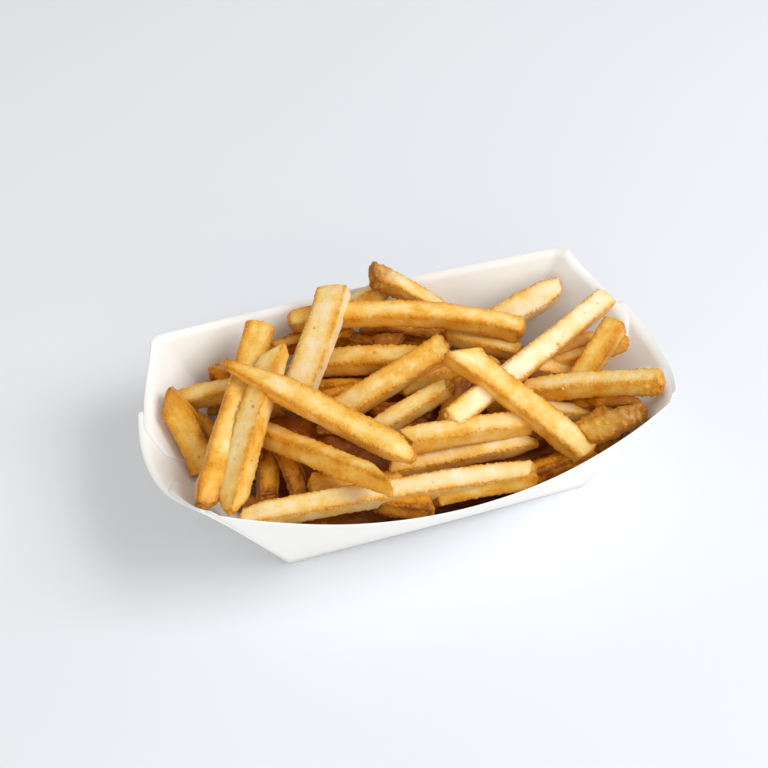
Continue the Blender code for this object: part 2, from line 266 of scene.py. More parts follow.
BUBBLE = 1.2                    # height of the bubbles on a blistered stretch
BUBBLE_LENGTH = 1.8
BUBBLE_COVER = 0.1              # bubbles cover half of that stretch at 0, and more of it above that
TINY = 0.001                    # less than any real distance on a stick that is 2 units each way
STREAK = 3.4                    # width of the flesh's streaks, which run along the fry
STREAK_STRETCH = (0.35, 1, 1)
PATCH = 6.5                     # sizes of its patches, its mottles and its mealy grain
MOTTLE = 2.2
MEAL = 0.8
GRAIN = 0.6                     # grains of the crisp crust
SPECK_SPACING = 26.0            # of the dark specks, whose rim and heart are given as parts of it
SPECK_RIM = 0.018
SPECK_HEART = 0.009

chance = random.Random(11)


def fry(x, y, z, heading, tilt, length, thickness, **looks):
    """A fry's place in the heap and its shape; what a call doesn't give is drawn at random or plain."""
    drawn = {
        "width": chance.uniform(0.95, 1.2),         # as a part of the thickness
        "roll": chance.uniform(-25, 25),            # degrees that it is turned about its length
        "twist": chance.uniform(-8, 8),
        "bow": chance.uniform(-0.8, 1.4),           # how far its middle stands up, and to a side
        "sway": chance.uniform(-1.0, 1.0),
        "start_slant": (chance.uniform(-0.5, 0.5), chance.uniform(-0.5, 0.5)),
        "stop_slant": (chance.uniform(-0.5, 0.5), chance.uniform(-0.5, 0.5)),
        "start_taper": chance.uniform(0.0, 0.15),   # how much thinner its ends are
        "stop_taper": chance.uniform(0.0, 0.15),
        "tone": chance.uniform(0.2, 0.8),           # how far it has fried, from 0 for cream; in the low and hidden rows it is also raised as painted shade
    }
    plain = {
        "side_tone": 0.25,                          # how much darker its sides are painted than its top, as painted shade; below 0, painted light
        "start_reach": TAPER_REACH,                 # length of the taper at its start
        "blistered": (0, 0),                        # start, -1, or stop, 1, and the reach from there
        "skin": (0, 0),
        "browned": (0, 0),
    }
    return {**plain, **drawn, **looks, "seed": chance.uniform(0, 900),
            "place": (x, y, z, heading, tilt), "size": (length, thickness)}


# Each row: the fry's middle, its heading and tilt in degrees, its length and thickness, and its looks
TOP_FRIES = [
    fry(-34, -8, 42, -47, -9, 74, 6.3, width=1.35, roll=15, bow=1.4, start_slant=(0.3, -0.3),
        start_taper=0.65, start_reach=26, stop_slant=(-0.1, 0.1), stop_taper=0.5, tone=0.45,
        browned=(-1, 12)),
    fry(-24.5, 26.2, 38.2, -127, -18, 49, 7.0, width=1.55, roll=2, bow=0.2, start_slant=(0.3, 0.1),
        start_taper=0.0, tone=0.05, side_tone=-0.5),
    fry(34, -21.5, 35, -52, -22, 56, 6.6, width=1.35, roll=10, bow=0.3, start_slant=(-1.2, 0.2),
        start_taper=-0.2, stop_slant=(0.2, 0.2), stop_taper=0.0, tone=0.35, side_tone=0.6),
    fry(45.4, -1.3, 35.3, 27, 1.5, 87, 7.0, width=1.15, roll=25, bow=0.5, start_slant=(0.1, 0.1),
        start_taper=0.0, stop_slant=(-0.2, 0.1), stop_taper=0.0, tone=-0.4, side_tone=1.3,
        browned=(-1, 14)),
    fry(-56.4, -6.9, 38.3, -119, -8, 67.5, 7.4, width=1.2, roll=20, bow=0.8, start_slant=(0.9, 0.1),
        start_taper=0.05, stop_slant=(0.1, 0.1), stop_taper=0.6, tone=0.3),
    fry(10.5, 29, 37.6, -20, -2, 85, 6.8, width=1.1, roll=12, bow=6.4, start_slant=(0.2, 0.2),
        start_taper=0.15, stop_slant=(0.2, 0.2), stop_taper=-0.05, tone=0.5, side_tone=0.4),
    fry(-3.5, 7.5, 31.5, 13, 12, 49, 6.6, width=1.35, roll=18, bow=0.3, stop_slant=(0.1, -0.1),
        stop_taper=-0.1, tone=0.55, side_tone=0.1, blistered=(1, 13)),
    fry(-39.0, -22, 35.6, -57, 11, 58, 6.6, width=1.12, roll=-20, bow=1.0, stop_slant=(-1.7, -0.3),
        stop_taper=0.1, tone=0.7),
    fry(-59.0, 4.2, 37.4, -118, -4, 82, 7.0, width=1.4, roll=-18, bow=1.0, start_slant=(0.1, 0.2),
        start_taper=0.0, stop_taper=0.45, tone=0.6, browned=(1, 26)),
    fry(60, -20, 34, -29, 14, 49, 6.6, width=1.1, roll=0, bow=0.4, stop_slant=(0.1, 0.1), stop_taper=0.0,
        tone=0.3, side_tone=0.6, blistered=(1, 18)),
    fry(-19, -39.5, 28, -3, -4, 100, 6.6, width=1.1, roll=15, bow=1.2, start_taper=0.25,
        stop_slant=(0.5, -0.3), stop_taper=0.15, tone=0.0),
]
MIDDLE_FRIES = [
    fry(68, -5.2, 32.5, -147, -23, 32, 6.6, width=1.2, roll=0, tone=0.75, start_taper=0.0,
        start_slant=(0.1, 0.1)),
    fry(-1, -7, 30, 14, 9, 35, 6.0, tone=0.3, roll=5, width=1.05),
    fry(54, 28.6, 31, 14, 9, 39, 6.9, tone=-0.2, stop_taper=0.4, stop_slant=(0.4, 0.0), width=1.45,
        roll=20),
    fry(17, 42, 37, -22, -35, 37, 6.2, skin=(-1, 15), start_taper=0.0, tone=0.3, roll=10,
        blistered=(-1, 22)),
    fry(-3, 47, 35, 7, 12, 30, 6, tone=0.35, stop_slant=(0.8, 0.2)),
    fry(60, -37.5, 32, -6, 20, 24, 5.6, skin=(1, 28), blistered=(1, 45), stop_taper=0.4, width=1.4, roll=25),
    fry(57, -31.5, 26, 16, 7, 31, 6.8, blistered=(1, 60), skin=(1, 40), tone=0.8, width=1.2),
    fry(42, -17, 25, -18, -8, 41, 6.2),
    fry(66, 0.5, 28.5, -9, 14, 35, 5.2),
    fry(59, 7, 26, 8, 1, 41, 5.8, tone=0.7),
    fry(57, -2, 25, -13, -19, 33, 5.8),
    fry(-6, 22, 29, -23, 7, 41, 7.2, tone=0.45, roll=5, width=1.2),
    fry(18, 8, 27, 3, -3, 39, 5.8, tone=0.6),
    fry(10.5, -27, 24, -3, -1, 52, 6.0, tone=0.25, stop_taper=0.35, stop_slant=(-0.4, -0.3), roll=15),
    fry(12, -24, 31, -2, -5, 48, 6.6, tone=0.35, roll=5),
    fry(-74.5, 10, 27.5, -78, -24, 33, 7, tone=1.0, start_taper=0.5, stop_taper=-0.15, roll=28, width=1.35,
        side_tone=0.5),
    fry(-60.5, 23, 29, -5, 0, 30, 6.4, tone=0.5),
    fry(3.5, 28.2, 30, -20, 0, 10, 6.0, skin=(-1, 30), blistered=(-1, 12), tone=1.4,
        start_taper=0.35, stop_taper=0.25),
]
# Most low fries have a tone of 1.35 or more, darker than the fries above: painted shade for their place deep
# in the heap.
LOW_FRIES = [
    fry(-66, 12, 22, -43, -25, 25, 6.4, skin=(-1, 9), tone=1.35),
    fry(-52, -9.5, 22.5, -108, -3, 33, 6.6, tone=1.45),
    fry(-46, -15, 25, -89, -12, 25, 6, tone=1.45),
    fry(-60, -20, 16, -64, 18, 14, 5, tone=1.35),
    fry(-27, -30, 25, -13, -8, 34, 6.2, tone=0.9),
    fry(38, -39, 20, 1, 10, 31, 6, tone=1.55),
    fry(-17, -42, 25, -29, 1, 22, 6.4, tone=1.35),
    fry(11.5, -42.5, 23.5, -5, 0, 37, 6, tone=0.6),
    fry(15, -8, 27, -125, -3, 28, 6.4, skin=(1, 30), tone=1.55),
    fry(55, -36.5, 23.5, 0, 15, 21, 6, tone=1.55),
    fry(61, -22, 27, -47, 27, 35, 5.6, skin=(1, 20), tone=1.55, stop_taper=0.6),
    fry(-20, 18.5, 22.8, -16, 2, 25, 5.4, tone=1.35),
    fry(-24, 13, 24.3, -8, 6, 24, 6, tone=1.35),
    fry(-4.5, 36, 25, -33, -3, 25, 5.8, tone=1.35),
    fry(11, 35, 27, -24, -8, 29, 6.2, skin=(-1, 12), tone=1.35),
    fry(12, 33, 22, -26, -5, 25, 6.2, skin=(-1, 14), tone=1.35),
    fry(22.5, 35, 24, -27, -2, 27, 5.8, tone=1.35),
    fry(35, 18, 29, -33, -9, 28, 5.8, tone=0.45),
    fry(42, 24, 23, 29, -10, 25, 5, tone=1.35),
    fry(-23, 38, 31, -2, 7, 31, 5.4, tone=1.35),
    fry(-15, 41, 23, 0, -3, 16, 5.4, tone=1.35),
    fry(-52.5, 30.5, 27, -32, -9, 19, 6, skin=(1, 9), tone=1.35),
    fry(-55, 26, 20, -27, 16, 19, 5.6, tone=1.35),
    fry(-49, 22, 17.5, -24, -4, 26, 6.2, tone=1.35),
]


def nearness(distance, reach):
    """1 at an end or an edge, falling smoothly to 0 at the given reach from it."""
    part = max(0, 1 - distance / reach)
    return part * part * (3 - 2 * part)


def within(stretch, from_start, from_stop):
    """How far a spot lies within a stretch, which is given as the end that it is at and its reach."""
    end, reach = stretch
    if end == 0:
        return 0
    return nearness(from_stop if end > 0 else from_start, reach)


def cut_fry(looks, step, across):
    """A square stick along X, 2 units each way, with rings and faces fine enough for its relief."""
    stick = bmesh.new()
    bmesh.ops.create_cube(stick, size=2)
    lengthwise = [edge for edge in stick.edges if edge.verts[0].co.x * edge.verts[1].co.x < 0]
    bmesh.ops.subdivide_edges(stick, edges=lengthwise, cuts=round(looks["size"][0] / step))
    crosswise = [edge for edge in stick.edges if abs(edge.verts[0].co.x - edge.verts[1].co.x) < TINY]
    bmesh.ops.subdivide_edges(stick, edges=crosswise, cuts=across - 1, use_grid_fill=True)
    return stick


def deep_fry(stick, looks):
    """Give a cut stick its size in millimetres, and the swollen, bowed and pitted shape of a fried one."""
    length, thickness = looks["size"]
    half = Vector((length, looks["width"] * thickness * PLUMP, thickness * PLUMP)) / 2
    seed = looks["seed"]
    place_layer = stick.verts.layers.float_vector.new("fry_place")
    look_layer = stick.verts.layers.float_vector.new("fry_look")
    for vertex in stick.verts:
        u, v, w = vertex.co
        widest = max(abs(v), abs(w), TINY)
        squarish = (abs(v) ** CORNER_POWER + abs(w) ** CORNER_POWER) ** (1 / CORNER_POWER)
        inset = widest / max(squarish, TINY)
        off_edge = 1 - min(abs(v), abs(w)) / widest
        edge = nearness(off_edge, CRISP_BAND) * widest
        from_start = (1 + u) * half.x
        from_stop = (1 - u) * half.x
        from_end = min(from_start, from_stop)
        near_start = nearness(from_start, TAPER_REACH)
        near_stop = nearness(from_stop, TAPER_REACH)
        slim = 1 - looks["stop_taper"] * near_stop
        slim -= looks["start_taper"] * nearness(from_start, looks["start_reach"])
        slim *= 1 - END_PINCH * nearness(from_end, END_ROUND)
        run = u * half.x / WANDER_LENGTH
        swell = Vector((0, noise.noise((run, seed, 3)), noise.noise((run, seed, 7)))) * SWELL
        spot = Vector((u * half.x, v * half.y * inset * (slim + swell.y),
                       w * half.z * inset * (slim + swell.z)))
        pattern = spot + Vector((seed, seed / 3, 0))
        relief = BELLY * noise.noise(pattern / BELLY_LENGTH) + PIT * noise.noise(pattern / PIT_LENGTH)
        relief -= SINK * (1 - edge) * (0.5 + noise.noise(pattern / WANDER_LENGTH))
        crumbling = max(edge, abs(u) ** CRISP_END_POWER)
        relief += CRISP * crumbling * max(CRISP_HOLLOW, noise.noise(pattern / CRISP_LENGTH))
        blistering = within(looks["blistered"], from_start, from_stop)
        relief += BUBBLE * blistering * max(0, noise.noise(pattern / BUBBLE_LENGTH) + BUBBLE_COVER)
        spot += Vector((u ** END_POWER, v, w)).normalized() * relief
        slant = near_stop * (looks["stop_slant"][0] * v + looks["stop_slant"][1] * w)
        slant -= near_start * (looks["start_slant"][0] * v + looks["start_slant"][1] * w)
        spot.x += (slant - END_CROWN * u ** END_POWER * (v * v + w * w)) * thickness / 2
        turn = math.radians(looks["roll"] + looks["twist"] * u)
        spot = Matrix.Rotation(turn, 3, "X") @ spot
        spot.y += looks["sway"] * (0.5 - u * u) + WANDER * noise.noise((run, 5, seed))
        spot.z += looks["bow"] * (0.5 - u * u) + WANDER * noise.noise((run, 9, seed))
        vertex.co = spot
        vertex[place_layer] = pattern
        # The sides take painted shade here, darker than the top, or painted light where that number is below
        # 0; browned ends are browner
        tone = looks["tone"] + looks["side_tone"] * min(1, max(0, SIDE_FADE * (abs(v) - abs(w))))
        tone += BROWNING * within(looks["browned"], from_start, from_stop)
        golden = max(nearness(off_edge, GOLDEN_BAND) * widest, nearness(from_end, GOLDEN_END))
        skinned = within(looks["skin"], from_start, from_stop)
        vertex[look_layer] = Vector((tone, golden, skinned))


def wall_limits(spot):
    """How far along X and Y a point can lie before it meets the walls, or none above the rim."""
    part = min(1, spot.z / RIM_HEIGHT)
    half_length = BASE_HALF_LENGTH + (RIM_HALF_LENGTH - BASE_HALF_LENGTH) * part
    half_width = BASE_HALF_WIDTH + (RIM_HALF_WIDTH - BASE_HALF_WIDTH) * part
    end_swell = max(0, 1 - (spot.y / half_width) ** 2)
    long_swell = max(0, 1 - (spot.x / half_length) ** 2)
    end_bulge = RIGHT_BULGE if spot.x > 0 else LEFT_BULGE
    long_bulge = BACK_BULGE if spot.y > 0 else FRONT_BULGE
    end_up = spot.z / (RIM_HEIGHT - END_DIP * end_swell)
    long_up = spot.z / (RIM_HEIGHT - LONG_DIP * long_swell)
    x_limit = BASE_HALF_LENGTH + (RIM_HALF_LENGTH + end_bulge * end_swell - BASE_HALF_LENGTH) * end_up
    y_limit = BASE_HALF_WIDTH + (RIM_HALF_WIDTH + long_bulge * long_swell - BASE_HALF_WIDTH) * long_up
    return (x_limit if end_up < 1 else math.inf, y_limit if long_up < 1 else math.inf)


def press_in(stick):
    """Press in what would stand through the tray's walls, as a fry that leans on them is pressed."""
    for vertex in stick.verts:
        x_limit, y_limit = wall_limits(vertex.co)
        x_limit -= END_ROOM
        y_limit -= LONG_ROOM
        vertex.co.x = max(-x_limit, min(x_limit, vertex.co.x))
        vertex.co.y = max(-y_limit, min(y_limit, vertex.co.y))


def lay_fry(stick, looks):
    """Turn a fry to its heading and tilt, and move it to its place in the heap."""
    x, y, z, heading, tilt = looks["place"]
    turn = Euler((0, -math.radians(tilt), math.radians(heading))).to_matrix().to_4x4()
    lay = Matrix.Translation(Vector((x, y, z)) * MM) @ turn @ Matrix.Scale(MM, 4)
    bmesh.ops.transform(stick, matrix=lay, verts=stick.verts)


def make_fries(name, rows, step=FRY_STEP, across=FRY_ACROSS):
    """One mesh with every fry of the rows, each laid in its place."""
    heap = bmesh.new()
    mesh = bpy.data.meshes.new(name)
    for looks in rows:
        stick = cut_fry(looks, step, across)
        deep_fry(stick, looks)
        lay_fry(stick, looks)
        press_in(stick)
        stick.normal_update()
        stick.to_mesh(mesh)
        stick.free()
        heap.from_mesh(mesh)
    heap.to_mesh(mesh)
    heap.free()
    mesh.shade_smooth()
    return mesh


def make_fried_potato():
    """Fried potato: cream to golden flesh, glossy with oil, browner on crisp edges, skin and specks."""
    material, shader = start_material("fried potato")
    link = material.node_tree.links.new
    place = add_node(material, "ShaderNodeAttribute", attribute_name="fry_place").outputs["Vector"]
    look = add_node(material, "ShaderNodeAttribute", attribute_name="fry_look").outputs["Vector"]
    fried, golden, skin = add_node(material, "ShaderNodeSeparateXYZ", {"Vector": look}).outputs
    along = add_node(material, "ShaderNodeVectorMath", {0: place, 1: STREAK_STRETCH}, operation="MULTIPLY")
    streaks = add_node(material, "ShaderNodeTexNoise", {"Vector": along.outputs[0]},
                       Scale=1 / STREAK, Detail=3.0, Roughness=0.6)
    patches = add_node(material, "ShaderNodeTexNoise", {"Vector": place}, Scale=1 / PATCH, Detail=2.0)
    mottles = add_node(material, "ShaderNodeTexNoise", {"Vector": place}, Scale=1 / MOTTLE, Detail=2.0)
    mealy = add_node(material, "ShaderNodeTexNoise", {"Vector": place}, Scale=1 / MEAL, Detail=3.0,
                     Roughness=0.7)
    # Flesh: how golden each spot is, from 0 for dry cream to 1 for full of oil; the deeper tones of the
    # sides, the low and hidden fries and the core are painted shade that takes them to the dark end
    soaked_and_shaded = add_node(material, "ShaderNodeMath", {0: fried, 1: 0.36, 2: -0.58}, operation="MULTIPLY_ADD")
    for pattern, share in ((patches.outputs["Fac"], 0.75), (streaks.outputs["Fac"], 0.45),
                           (mealy.outputs["Fac"], 0.42), (golden, 0.2)):
        soaked_and_shaded = add_node(material, "ShaderNodeMath", {0: pattern, 1: share, 2: soaked_and_shaded.outputs[0]},
                          operation="MULTIPLY_ADD")
    flesh = add_node(material, "ShaderNodeValToRGB", {"Fac": soaked_and_shaded.outputs[0]})
    ramp = flesh.color_ramp.elements
    ramp[0].color = linear("#feecc8")
    # The darkest colour is reached mostly by painted shade: the deep tones of the sides, the low and hidden
    # fries and the core
    ramp[1].color = linear("#8a4206")
    for part, hex_colour in ((0.2, "#fbe0ac"), (0.38, "#f7d07a"), (0.56, "#f0b74a"), (0.78, "#e09318")):
        ramp.new(part).color = linear(hex_colour)
    # Crisp edges and ends, where the crust has browned
    browned = add_node(material, "ShaderNodeMapRange", {"Value": mottles.outputs["Fac"]},
                       From_Min=0.36, From_Max=0.6, To_Min=0.2, To_Max=0.85)
    rim = add_node(material, "ShaderNodeMath", {0: golden, 1: 4.0}, operation="POWER")
    crisp = add_node(material, "ShaderNodeMath", {0: browned.outputs[0], 1: rim.outputs[0]},
                     operation="MULTIPLY")
    edged = add_node(material, "ShaderNodeMix", {"Factor": crisp.outputs[0], MIX_A: flesh.outputs["Color"],
                     MIX_B: linear("#dd8f20")}, data_type="RGBA")
    # Potato skin that was left on, and the dark specks of the flesh
    leathery = add_node(material, "ShaderNodeMapRange", {"Value": mottles.outputs["Fac"]},
                        From_Min=0.3, From_Max=0.6, To_Min=0.5, To_Max=1.0)
    peel = add_node(material, "ShaderNodeMath", {0: leathery.outputs[0], 1: skin}, operation="MULTIPLY")
    skinned = add_node(material, "ShaderNodeMix", {"Factor": peel.outputs[0], MIX_A: edged.outputs[MIXED],
                       MIX_B: linear("#a8661e")}, data_type="RGBA")
    spots = add_node(material, "ShaderNodeTexVoronoi", {"Vector": place}, Scale=1 / SPECK_SPACING)
    spot = add_node(material, "ShaderNodeMapRange", {"Value": spots.outputs["Distance"]},
                    From_Min=SPECK_RIM, From_Max=SPECK_HEART, To_Max=0.8)
    specked = add_node(material, "ShaderNodeMix", {"Factor": spot.outputs[0], MIX_A: skinned.outputs[MIXED],
                       MIX_B: linear("#7d4716")}, data_type="RGBA")
    link(specked.outputs[MIXED], shader.inputs["Base Color"])
    # The dry, mealy crust, and oil that lies on it in patches
    rough = add_node(material, "ShaderNodeMapRange", {"Value": rim.outputs[0]}, To_Min=0.5, To_Max=1.0)
    bump = add_node(material, "ShaderNodeBump",
                    {"Height": mealy.outputs["Fac"], "Strength": rough.outputs[0]}, Distance=MEAL_RELIEF)
    grains = add_node(material, "ShaderNodeTexVoronoi", {"Vector": place}, Scale=1 / GRAIN)
    grainy = add_node(material, "ShaderNodeMapRange", {"Value": rim.outputs[0]}, To_Min=0.0, To_Max=0.9)
    crust = add_node(material, "ShaderNodeBump", {"Height": grains.outputs["Distance"],
                     "Strength": grainy.outputs[0], "Normal": bump.outputs["Normal"]},
                     Distance=GRAIN_RELIEF, invert=True)
    link(crust.outputs["Normal"], shader.inputs["Normal"])
    oil = add_node(material, "ShaderNodeMapRange", {"Value": streaks.outputs["Fac"]},
                   From_Min=0.35, From_Max=0.65, To_Min=0.5, To_Max=0.24)
    link(oil.outputs[0], shader.inputs["Roughness"])
    shader.inputs["IOR"].default_value = 1.44
    shader.inputs["Specular Tint"].default_value = linear("#ffdca6")
    shader.inputs["Coat Weight"].default_value = 0.22
    shader.inputs["Coat Roughness"].default_value = 0.14
    shader.inputs["Subsurface Weight"].default_value = 0.2
    shader.inputs["Subsurface Radius"].default_value = (1.0, 0.55, 0.15)
    shader.inputs["Subsurface Scale"].default_value = 1.6 * MM
    return material


fried_potato = make_fried_potato()
top_fries = add_piece("top_fries", make_fries("top_fries", TOP_FRIES), fried_potato)
middle_fries = add_piece("middle_fries", make_fries("middle_fries", MIDDLE_FRIES), fried_potato)
low_fries = add_piece("low_fries", make_fries("low_fries", LOW_FRIES), fried_potato)
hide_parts("fries")


# Hidden fries
# The rest of the same portion, which shows only in the gaps between the upper ones and fills the
# tray to its base. A seeded rule lays each one as high as what already lies over it lets it.

HIDDEN_SEED = 8
HIDDEN_COUNT = 30               # most that are laid, and how many each is picked from
HIDDEN_DRAWS = 24
HIDDEN_STEP = 1.1               # spacing of rings, in millimetres, as are the sizes that follow here
HIDDEN_ACROSS = 6               # faces across each side
HIDDEN_SHADE_TONE = 1.9               # their tone, on the scale of the rows above, darkened as painted shade for the gaps they show in
HIDDEN_LENGTH = (22, 50)
HIDDEN_THICKNESS = (5.6, 6.8)
HIDDEN_HEADING = (-75, 45)      # degrees
HIDDEN_SPREAD = (76, 44)        # half length and half width of the patch that they lie in
HIDDEN_EDGE = 17                # height that they reach at the tray's walls and in the middle
HIDDEN_CROWN = 27
HIDDEN_TILTS = (-20, -15, -10, -5, 0, 5, 10, 15, 20)
HIDDEN_SINK = 1.0               # how far one is pressed into what lies on it
HIDDEN_PLACES = 7               # places along one where the room above it is measured
WALL_GAP = 1                    # between one and the tray's walls
BROKEN_COUNT = 70               # shorter, broken ones laid between them
BROKEN_LENGTH = (12, 26)
CORE_HALF_LENGTH = 50.0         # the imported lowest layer: its half sizes at the base
CORE_HALF_WIDTH = 31.0
CORE_SPREAD = 0.45              # how much wider it gets for each unit of height
CORE_FLOOR = 0.9                # height of its underside
CORE_EDGE = 12.0                # its height at the walls and at its middle
CORE_CROWN = 21.0
CORE_POWER = 4                  # how flat it is between its middle and the walls
CORE_CUTS = 60                  # cuts across each of its faces
CORE_TOP = 0.99                 # the part of its half height above which it is knobbly
CORE_RELIEF = 2.2               # how far broken bits stand out of it
CORE_RELIEF_LENGTH = 5.0
CORE_SHADE_LOOK = (2.1, 0.5, 0.0)     # its tone, darker than any fry's as painted shade at the bottom of the gaps, how golden its edges are, and no skin


def make_core():
    """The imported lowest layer: a mound as wide as the tray's foot, knobbly with broken bits."""
    core = bmesh.new()
    bmesh.ops.create_cube(core, size=2)
    bmesh.ops.subdivide_edges(core, edges=core.edges, cuts=CORE_CUTS, use_grid_fill=True)
    place_layer = core.verts.layers.float_vector.new("fry_place")
    look_layer = core.verts.layers.float_vector.new("fry_look")
    for vertex in core.verts:
        u, v, w = vertex.co
        crown = CORE_EDGE + (CORE_CROWN - CORE_EDGE) * (1 - u ** CORE_POWER) * (1 - v ** CORE_POWER)
        height = CORE_FLOOR + (crown - CORE_FLOOR) * (w + 1) / 2
        spot = Vector((u * (CORE_HALF_LENGTH + CORE_SPREAD * height),
                       v * (CORE_HALF_WIDTH + CORE_SPREAD * height), height))
        if w > CORE_TOP:
            spot.z += CORE_RELIEF * noise.noise(spot / CORE_RELIEF_LENGTH)
        vertex[place_layer] = spot
        # its dark tone is painted shade at the bottom of the gaps
        vertex[look_layer] = Vector(CORE_SHADE_LOOK)
        vertex.co = spot * MM
    mesh = bpy.data.meshes.new("packed_layer")
    core.to_mesh(mesh)
    core.free()
    mesh.shade_smooth()
    return mesh


def ends_of(looks):
    """Both ends of a fry's middle line."""
    x, y, z, heading, tilt = looks["place"]
    turn = Euler((0, -math.radians(tilt), math.radians(heading))).to_matrix()
    run = turn @ Vector((looks["size"][0] / 2, 0, 0))
    return Vector((x, y, z)) - run, Vector((x, y, z)) + run


def room_over(spot, thickness, laid):
    """Height of the lowest thing over a spot: a fry laid there, or the top of the hidden fries."""
    u = min(1, abs(spot.x) / HIDDEN_SPREAD[0])
    v = min(1, abs(spot.y) / HIDDEN_SPREAD[1])
    lowest = HIDDEN_EDGE + (HIDDEN_CROWN - HIDDEN_EDGE) * (1 - u * u) * (1 - v * v)
    for start, stop, other_thickness in laid:
        run = (stop - start).to_2d()
        part = min(1, max(0, (spot - start.to_2d()).dot(run) / run.length_squared))
        nearest = start.lerp(stop, part)
        if (nearest.to_2d() - spot).length < (thickness + other_thickness) / 2:
            lowest = min(lowest, nearest.z - other_thickness / 2)
    return lowest


def inside_walls(spot, thickness):
    """Whether a fry's end is above the core's underside, and clear of the leaning, bowed walls."""
    underside = spot.z - thickness / 2
    part = underside * MM / RIM_HEIGHT
    margin = WALL_GAP + thickness / 2
    half_length = (BASE_HALF_LENGTH + (RIM_HALF_LENGTH - BASE_HALF_LENGTH) * part) / MM - margin
    bulge = BACK_BULGE if spot.y > 0 else FRONT_BULGE
    rim_half_width = RIM_HALF_WIDTH + bulge * max(0, 1 - (spot.x / half_length) ** 2)
    half_width = (BASE_HALF_WIDTH + (rim_half_width - BASE_HALF_WIDTH) * part) / MM - margin
    return underside > CORE_FLOOR and abs(spot.x) < half_length and abs(spot.y) < half_width


def draw_hidden_fry(draw, laid, lengths):
    """Place and size of a fry, drawn at random and raised as far as what is laid lets it lie."""
    middle = Vector((draw.uniform(-1, 1) * HIDDEN_SPREAD[0], draw.uniform(-1, 1) * HIDDEN_SPREAD[1]))
    heading = draw.uniform(*HIDDEN_HEADING)
    length = draw.uniform(*lengths)
    thickness = draw.uniform(*HIDDEN_THICKNESS)
    run = Matrix.Rotation(math.radians(heading), 2) @ Vector((length / 2, 0))
    parts = [2 * place / (HIDDEN_PLACES - 1) - 1 for place in range(HIDDEN_PLACES)]
    rooms = [room_over(middle + part * run, thickness, laid) for part in parts]
    best = (-1, 0)
    for tilt in HIDDEN_TILTS:
        rise = math.tan(math.radians(tilt)) * length / 2
        best = max(best, (min(room - rise * part for room, part in zip(rooms, parts)), tilt))
    height = best[0] - thickness / 2 + HIDDEN_SINK
    return {"place": (*middle, height, heading, best[1]), "size": (length, thickness)}


def lay_hidden_fries():
    """Fries laid one by one under those that show: of each few drawn, the highest is laid."""
    draw = random.Random(HIDDEN_SEED)
    laid = [(*ends_of(looks), looks["size"][1]) for looks in TOP_FRIES + MIDDLE_FRIES + LOW_FRIES]
    rows = []
    for lengths in [HIDDEN_LENGTH] * HIDDEN_COUNT + [BROKEN_LENGTH] * BROKEN_COUNT:
        drawn = [draw_hidden_fry(draw, laid, lengths) for _ in range(HIDDEN_DRAWS)]
        fitting = [row for row in drawn if all(inside_walls(end, row["size"][1]) for end in ends_of(row))]
        if fitting:
            row = max(fitting, key=lambda row: row["place"][2])
            laid.append((*ends_of(row), row["size"][1]))
            # their dark tone is painted shade for the gaps
            rows.append(fry(*row["place"], *row["size"], bow=0.0, tone=HIDDEN_SHADE_TONE))
    return rows


core = add_piece("packed_layer", make_core(), fried_potato)
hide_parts("fries")
hidden_mesh = make_fries("hidden_fries", lay_hidden_fries(), HIDDEN_STEP, HIDDEN_ACROSS)
add_piece("hidden_fries", hidden_mesh, fried_potato)


# Crumbs
# Bits of fried potato broken off in the fryer, most of them under a millimetre, that cling to the
# upper fries where they fell. A seeded rule scatters them from above, and a few burnt ones are placed.

CRUMB_SEED = 5
CRUMB_COUNT = 130
CRUMB_SPREAD = (84, 52)         # half length and half width of the patch they fall on, in millimetres
CRUMB_FALL = 70                 # height that they fall from
CRUMB_SIZE = (0.2, 0.5)         # half size of most crumbs, and of the few big ones
BIG_CRUMB_SIZE = (0.7, 1.2)
BIG_CRUMB_SHARE = 0.05
CRUMB_STRETCH = (0.7, 1.3)      # how uneven their sides are
CRUMB_TONE = (0.1, 0.9)         # how far they have fried, as on a fry
CRUMB_GOLDEN = 0.5
CRUMB_RELIEF = 0.7              # how knobbly they are, as a part of their size
CRUMB_PATTERN = 0.8             # how many knobs they have
BURNT_SIZE = 0.45               # half size of the burnt ones, how far they have fried, and where they are
BURNT_TONE = 1.4
BURNT_CRUMBS = ((-53.9, -2.1), (-42.5, -27), (-43.6, -25.5), (-4.3, -33.6), (-6.2, -33), (-60, -21),
                (-21, 9))


